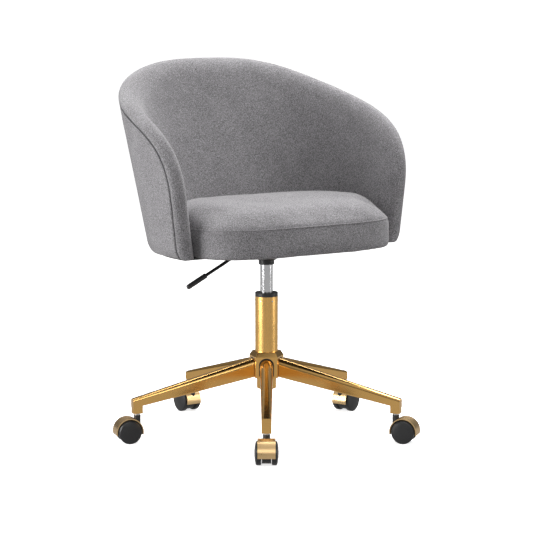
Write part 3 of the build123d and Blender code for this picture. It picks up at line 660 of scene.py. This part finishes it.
def build_cushion(inset):
    """Closed crowned pad: underside, upright band up to the seam, then the crowned top."""
    centre = Vector((*CUSHION_CENTRE, 0))
    low = cushion_outline(CUSHION_LOW, CUSHION_LOW_INSET)
    count = len(low)
    seam = cushion_outline(CUSHION_SEAM_Z, inset)
    rings = []
    floor = Vector((0, 0, CUSHION_LOW))
    for scale in CUSHION_UNDER_SCALES:
        rings.append([centre + (p - centre).xy.to_3d() * scale + floor for p in low])
    for share in CUSHION_BAND_SHARES:
        ring = []
        for a, b in zip(low, seam):
            point = a.lerp(b, share)
            front = front_share(point.y)
            top = CUSHION_SEAM_Z * front + CUSHION_EDGE_Z * (1 - front)
            point.z = CUSHION_LOW + (top - CUSHION_LOW) * share
            ring.append(point)
        rings.append(ring)
    for distance in CUSHION_TOP_DISTANCES:
        ring = []
        for p in seam:
            arm = (p - centre).xy.to_3d()
            spot = centre + arm * max(1 - distance / arm.length, CUSHION_SMALLEST_RING)
            ring.append(Vector((spot.x, spot.y, cushion_top(distance, front_share(p.y)))))
        rings.append(ring)
    vertices = [point for ring in rings for point in ring]
    faces = []
    for ring in range(len(rings) - 1):
        for step in range(count):
            after = (step + 1) % count
            faces.append((ring * count + step, ring * count + after,
                          (ring + 1) * count + after, (ring + 1) * count + step))
    last = (len(rings) - 1) * count
    vertices.append(centre + floor)
    vertices.append(centre + Vector((0, 0, CUSHION_CROWN)))
    for step in range(count):
        after = (step + 1) % count
        faces.append((after, step, len(vertices) - 2))
        faces.append((last + step, last + after, len(vertices) - 1))
    return vertices, faces


def inflate(piece, pressure, cap, held_below):
    """Swells a closed pad; points under held_below stay, and none moves beyond cap."""
    remesh = piece.modifiers.new("remesh", "REMESH")
    remesh.mode = "VOXEL"
    remesh.voxel_size = CUSHION_VOXEL
    apply_modifiers(piece)
    rest = [vertex.co.copy() for vertex in piece.data.vertices]
    held = piece.vertex_groups.new(name="held")
    held.add([v.index for v in piece.data.vertices if v.co.z < held_below], 1.0, "REPLACE")
    cloth = piece.modifiers.new("cloth", "CLOTH")
    cloth.settings.use_pressure = True
    cloth.settings.uniform_pressure_force = pressure
    cloth.settings.vertex_group_mass = "held"
    cloth.settings.effector_weights.gravity = 0.0
    cloth.settings.quality = CUSHION_QUALITY
    for number in range(1, CUSHION_FRAMES + 1):
        scene.frame_set(number)
    apply_modifiers(piece)
    scene.frame_set(1)
    for vertex, start in zip(piece.data.vertices, rest):
        move = vertex.co - start
        if move.length > cap:
            vertex.co = start + move * (cap / move.length)
    piece.vertex_groups.clear()


vertices, faces = build_cushion(CUSHION_START_INSET)
cushion = mesh_object("cushion_cover", vertices, faces, "seat", fabric)
inflate(cushion, CUSHION_PRESSURE, CUSHION_CAP, CUSHION_LOW + CUSHION_HELD)
soft_part = cushion.vertex_groups.new(name="soft_part")
soft_from, soft_to = (CUSHION_LOW + rise for rise in CUSHION_SOFT)
for vertex in cushion.data.vertices:
    soft_part.add([vertex.index], smooth_share(vertex.co.z, soft_from, soft_to), "REPLACE")
smoothing = cushion.modifiers.new("smooth", "SMOOTH")
smoothing.vertex_group = "soft_part"
smoothing.iterations = CUSHION_SMOOTHING
apply_modifiers(cushion)
cushion.vertex_groups.clear()
subdivide(cushion, 1)


def seam_line(piece, height):
    """Points on the piece's side at one height, round its free front, from one arm to the other."""
    mesh = piece.data
    tree = BVHTree.FromPolygons([v.co for v in mesh.vertices], [p.vertices for p in mesh.polygons])
    line = []
    for p in cushion_outline(height, 0.0, PIPING_POINTS):
        if p.y > PIPING_END_Y:
            continue
        inward = Vector((-p.x * PIPING_AIM, CUSHION_CENTRE[1] - p.y, 0)).normalized()
        hit, normal, _, _ = tree.ray_cast(p - inward * PIPING_REACH, inward)
        if hit is not None:
            line.append((hit, normal))
    line.sort(key=lambda item: atan2(item[0].x, -item[0].y))
    return line


piping_line = seam_line(cushion, CUSHION_SEAM_Z)
piping = tube_along("cushion_piping", [spot + normal * PIPING_LIFT for spot, normal in piping_line],
                    PIPING_RADIUS, "seat", fabric)


def cushion_relief(place):
    """Soft unevenness, and the groove that the front seam pulls in."""
    relief = wander(place, CUSHION_WANDER)
    if place.y > PIPING_GROOVE_END_Y or abs(place.z - CUSHION_SEAM_Z) > PIPING_GROOVE_BAND:
        return relief
    gap = min((place - spot).length for spot, _ in piping_line)
    return relief - PIPING_GROOVE * exp(-(gap / PIPING_GROOVE_WIDTH) ** 2)


push_out(cushion, cushion_relief)
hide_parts("seat_cushion")


# ---------------------------------------------------------------- painted shade in the gaps round the legs' roots
def arch_outline(width, low, high):
    """Arch across a leg, as (tangent, height): straight sides and a round top."""
    radius = width / 2
    spring = high - radius
    side = [(-radius, low), (-radius, (low + spring) / 2)]
    turns = [pi * step / ARCH_STEPS for step in range(ARCH_STEPS + 1)]
    crown = [(-radius * cos(turn), spring + radius * sin(turn)) for turn in turns]
    return side + crown + [(-x, z) for x, z in reversed(side)]


def build_root_gap_shade():
    """One thin dark arched strip in each of the hub's recesses, round the leg's root: painted shade
    for the gap there.
    """
    vertices = []
    faces = []
    for number in range(LEG_COUNT):
        angle = FIRST_LEG_ANGLE + 2 * pi * number / LEG_COUNT
        out = Vector((cos(angle), sin(angle), 0))
        tangent = Vector((-sin(angle), cos(angle), 0))
        loops = []
        for reach in ROOT_SHADE_REACH:
            for (width, high) in (ROOT_SHADE_OUTER, ROOT_SHADE_INNER):
                loops.append([out * reach + tangent * x + Vector((0, 0, z))
                              for x, z in arch_outline(width, ROOT_SHADE_LOW, high)])
        count = len(loops[0])
        start = len(vertices)
        vertices.extend(point for loop in loops for point in loop)
        back_outer, back_inner, front_outer, front_inner = (start + count * k for k in range(4))
        for a, b in ((back_inner, back_outer), (back_outer, front_outer),
                     (front_outer, front_inner), (front_inner, back_inner)):
            for step in range(count - 1):
                faces.append((a + step, a + step + 1, b + step + 1, b + step))
        for end in (0, count - 1):
            faces.append((back_outer + end, front_outer + end, front_inner + end, back_inner + end))
    return vertices, faces


# a black plastic sheet in each gap: painted shade, where the gap round the leg's root is dark
root_gap_shade = mesh_object("leg_root_painted_shade", *build_root_gap_shade(), "base", finishes["black_plastic"])
root_gap_shade.data.shade_flat()


# ---------------------------------------------------------------- dust cover
def plate_reach(direction):
    """From the lift axis to the edge of the opening that the mechanism plate fills."""
    n = DUST_OPENING_ROUNDNESS
    half_length, half_width = DUST_OPENING
    return (abs(direction.x / half_length) ** n + abs(direction.y / half_width) ** n) ** (-1 / n)


def dust_sag(point):
    wave = noise.noise(Vector((point.x * DUST_WAVES, point.y * DUST_WAVES, 0)))
    return DUST_SAG * (0.5 + 0.5 * wave)


def build_dust_cloth():
    """A ring of thin cloth stapled under the board, open over the mechanism plate."""
    outer = cushion_outline(DUST_TOP, DUST_INSET)
    count = len(outer)
    vertices = []
    faces = []
    area = 0
    for layer in range(2):
        for step in range(DUST_RINGS + 1):
            share = step / DUST_RINGS
            for edge in outer:
                flat_edge = Vector((edge.x, edge.y, 0))
                direction = flat_edge.normalized()
                point = flat_edge.lerp(direction * plate_reach(direction), share)
                sag = dust_sag(point) * sin(pi * share)
                point.z = DUST_TOP if layer == 0 else DUST_BOTTOM - sag
                vertices.append(point)
    size = count * (DUST_RINGS + 1)
    for step in range(DUST_RINGS):
        for side in range(count):
            after = (side + 1) % count
            a, b = step * count + side, step * count + after
            c, d = b + count, a + count
            faces.append((a, b, c, d))
            faces.append((size + d, size + c, size + b, size + a))
            area += ((vertices[c] - vertices[a]).cross(vertices[d] - vertices[b])).length / 2
    for ring, flip in ((0, True), (DUST_RINGS, False)):
        for side in range(count):
            after = (side + 1) % count
            a, b = ring * count + side, ring * count + after
            wall = (a, b, b + size, a + size)
            faces.append(wall[::-1] if flip else wall)
    piece = mesh_object("dust_cloth", vertices, faces, "seat", cover)
    width = max(edge.x for edge in outer) - min(edge.x for edge in outer)
    length = max(edge.y for edge in outer) - min(edge.y for edge in outer)
    return piece, (width, length), area


dust, dust_flat, dust_area = build_dust_cloth()
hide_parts("dust_cover")


# ---------------------------------------------------------------- studio
def make_floor():
    """Pale floor: plain white to the camera, dimmer to light that bounces and to reflections."""
    floor_mesh = bpy.data.meshes.new("floor")
    signs = ((-1, -1), (1, -1), (1, 1), (-1, 1))
    corners = [(x * FLOOR_REACH, y * FLOOR_REACH, 0) for x, y in signs]
    floor_mesh.from_pydata(corners, [], [(0, 1, 2, 3)])
    floor = bpy.data.objects.new("floor", floor_mesh)
    scene.collection.objects.link(floor)
    pale = Material("floor_pale", (0.90, 0.90, 0.90), roughness=1.0)
    pale.shader.inputs["Specular IOR Level"].default_value = 0.0
    pale.shader.inputs["Emission Color"].default_value = (1.0, 1.0, 1.0, 1.0)
    pale.shader.inputs["Emission Strength"].default_value = FLOOR_GLOW
    speck = pale.noise(40, 3.0)
    pale.feed("Base Color", pale.ramp(speck, (0.3, (0.89, 0.89, 0.89)), (0.7, (0.91, 0.91, 0.91))))
    bounce = pale.add("BsdfDiffuse", {"Color": (FLOOR_BOUNCE, FLOOR_BOUNCE, FLOOR_BOUNCE, 1.0)})
    mirrored = pale.add("Emission", {"Color": (1.0, 1.0, 1.0, 1.0), "Strength": FLOOR_IN_METAL})
    path = pale.add("LightPath")
    unseen = pale.add("MixShader", {0: path.outputs["Is Glossy Ray"], 1: bounce.outputs[0],
                                    2: mirrored.outputs[0]})
    mixed = pale.add("MixShader", {0: path.outputs["Is Camera Ray"], 1: unseen.outputs[0],
                                   2: pale.shader.outputs[0]})
    pale.tree.links.new(mixed.outputs[0], pale.tree.nodes["Material Output"].inputs[0])
    floor_mesh.materials.append(pale.material)


def make_world():
    """Pale studio, brighter overhead than near the floor, and plain white to the camera."""
    world = bpy.data.worlds.new("studio")
    scene.world = world
    world.use_nodes = True
    nodes, links = world.node_tree.nodes, world.node_tree.links
    background = nodes["Background"]
    place = nodes.new("ShaderNodeTexCoord")
    split = nodes.new("ShaderNodeSeparateXYZ")
    ramp = nodes.new("ShaderNodeValToRGB")
    links.new(place.outputs["Generated"], split.inputs[0])
    links.new(split.outputs[2], ramp.inputs[0])
    while len(ramp.color_ramp.elements) < len(WORLD_STOPS):
        ramp.color_ramp.elements.new(0.5)
    for element, (height, grey) in zip(ramp.color_ramp.elements, WORLD_STOPS):
        element.position = height
        element.color = (grey, grey, grey, 1.0)
    links.new(ramp.outputs[0], background.inputs[0])
    background.inputs[1].default_value = WORLD_STRENGTH
    white = nodes.new("ShaderNodeBackground")
    white.inputs[0].default_value = (1.0, 1.0, 1.0, 1.0)
    path = nodes.new("ShaderNodeLightPath")
    mixed = nodes.new("ShaderNodeMixShader")
    links.new(path.outputs["Is Camera Ray"], mixed.inputs[0])
    links.new(background.outputs[0], mixed.inputs[1])
    links.new(white.outputs[0], mixed.inputs[2])
    links.new(mixed.outputs[0], nodes["World Output"].inputs[0])


def add_softbox(name, place, target, size, power):
    light = bpy.data.lights.new(name, "AREA")
    light.shape = "RECTANGLE"
    light.size, light.size_y = size
    light.energy = power
    lamp = bpy.data.objects.new(name, light)
    lamp.location = place
    lamp.rotation_euler = (Vector(target) - Vector(place)).to_track_quat("-Z", "Y").to_euler()
    scene.collection.objects.link(lamp)


make_floor()
make_world()
for name, place, size, power in SOFTBOXES:
    add_softbox(name, place, LIGHTS_AIM, size, power)

camera_data = bpy.data.cameras.new("camera")
camera_data.lens = CAMERA_LENS
camera_data.sensor_width = CAMERA_SENSOR
camera_data.clip_end = CAMERA_CLIP_END
camera = bpy.data.objects.new("camera", camera_data)
camera.location = (
    CAMERA_DISTANCE * sin(CAMERA_AZIMUTH),
    -CAMERA_DISTANCE * cos(CAMERA_AZIMUTH),
    CAMERA_HEIGHT,
)
camera.rotation_euler = (pi / 2 - CAMERA_PITCH, 0, CAMERA_AZIMUTH)
scene.collection.objects.link(camera)
scene.camera = camera
scene.view_settings.view_transform = "Standard"
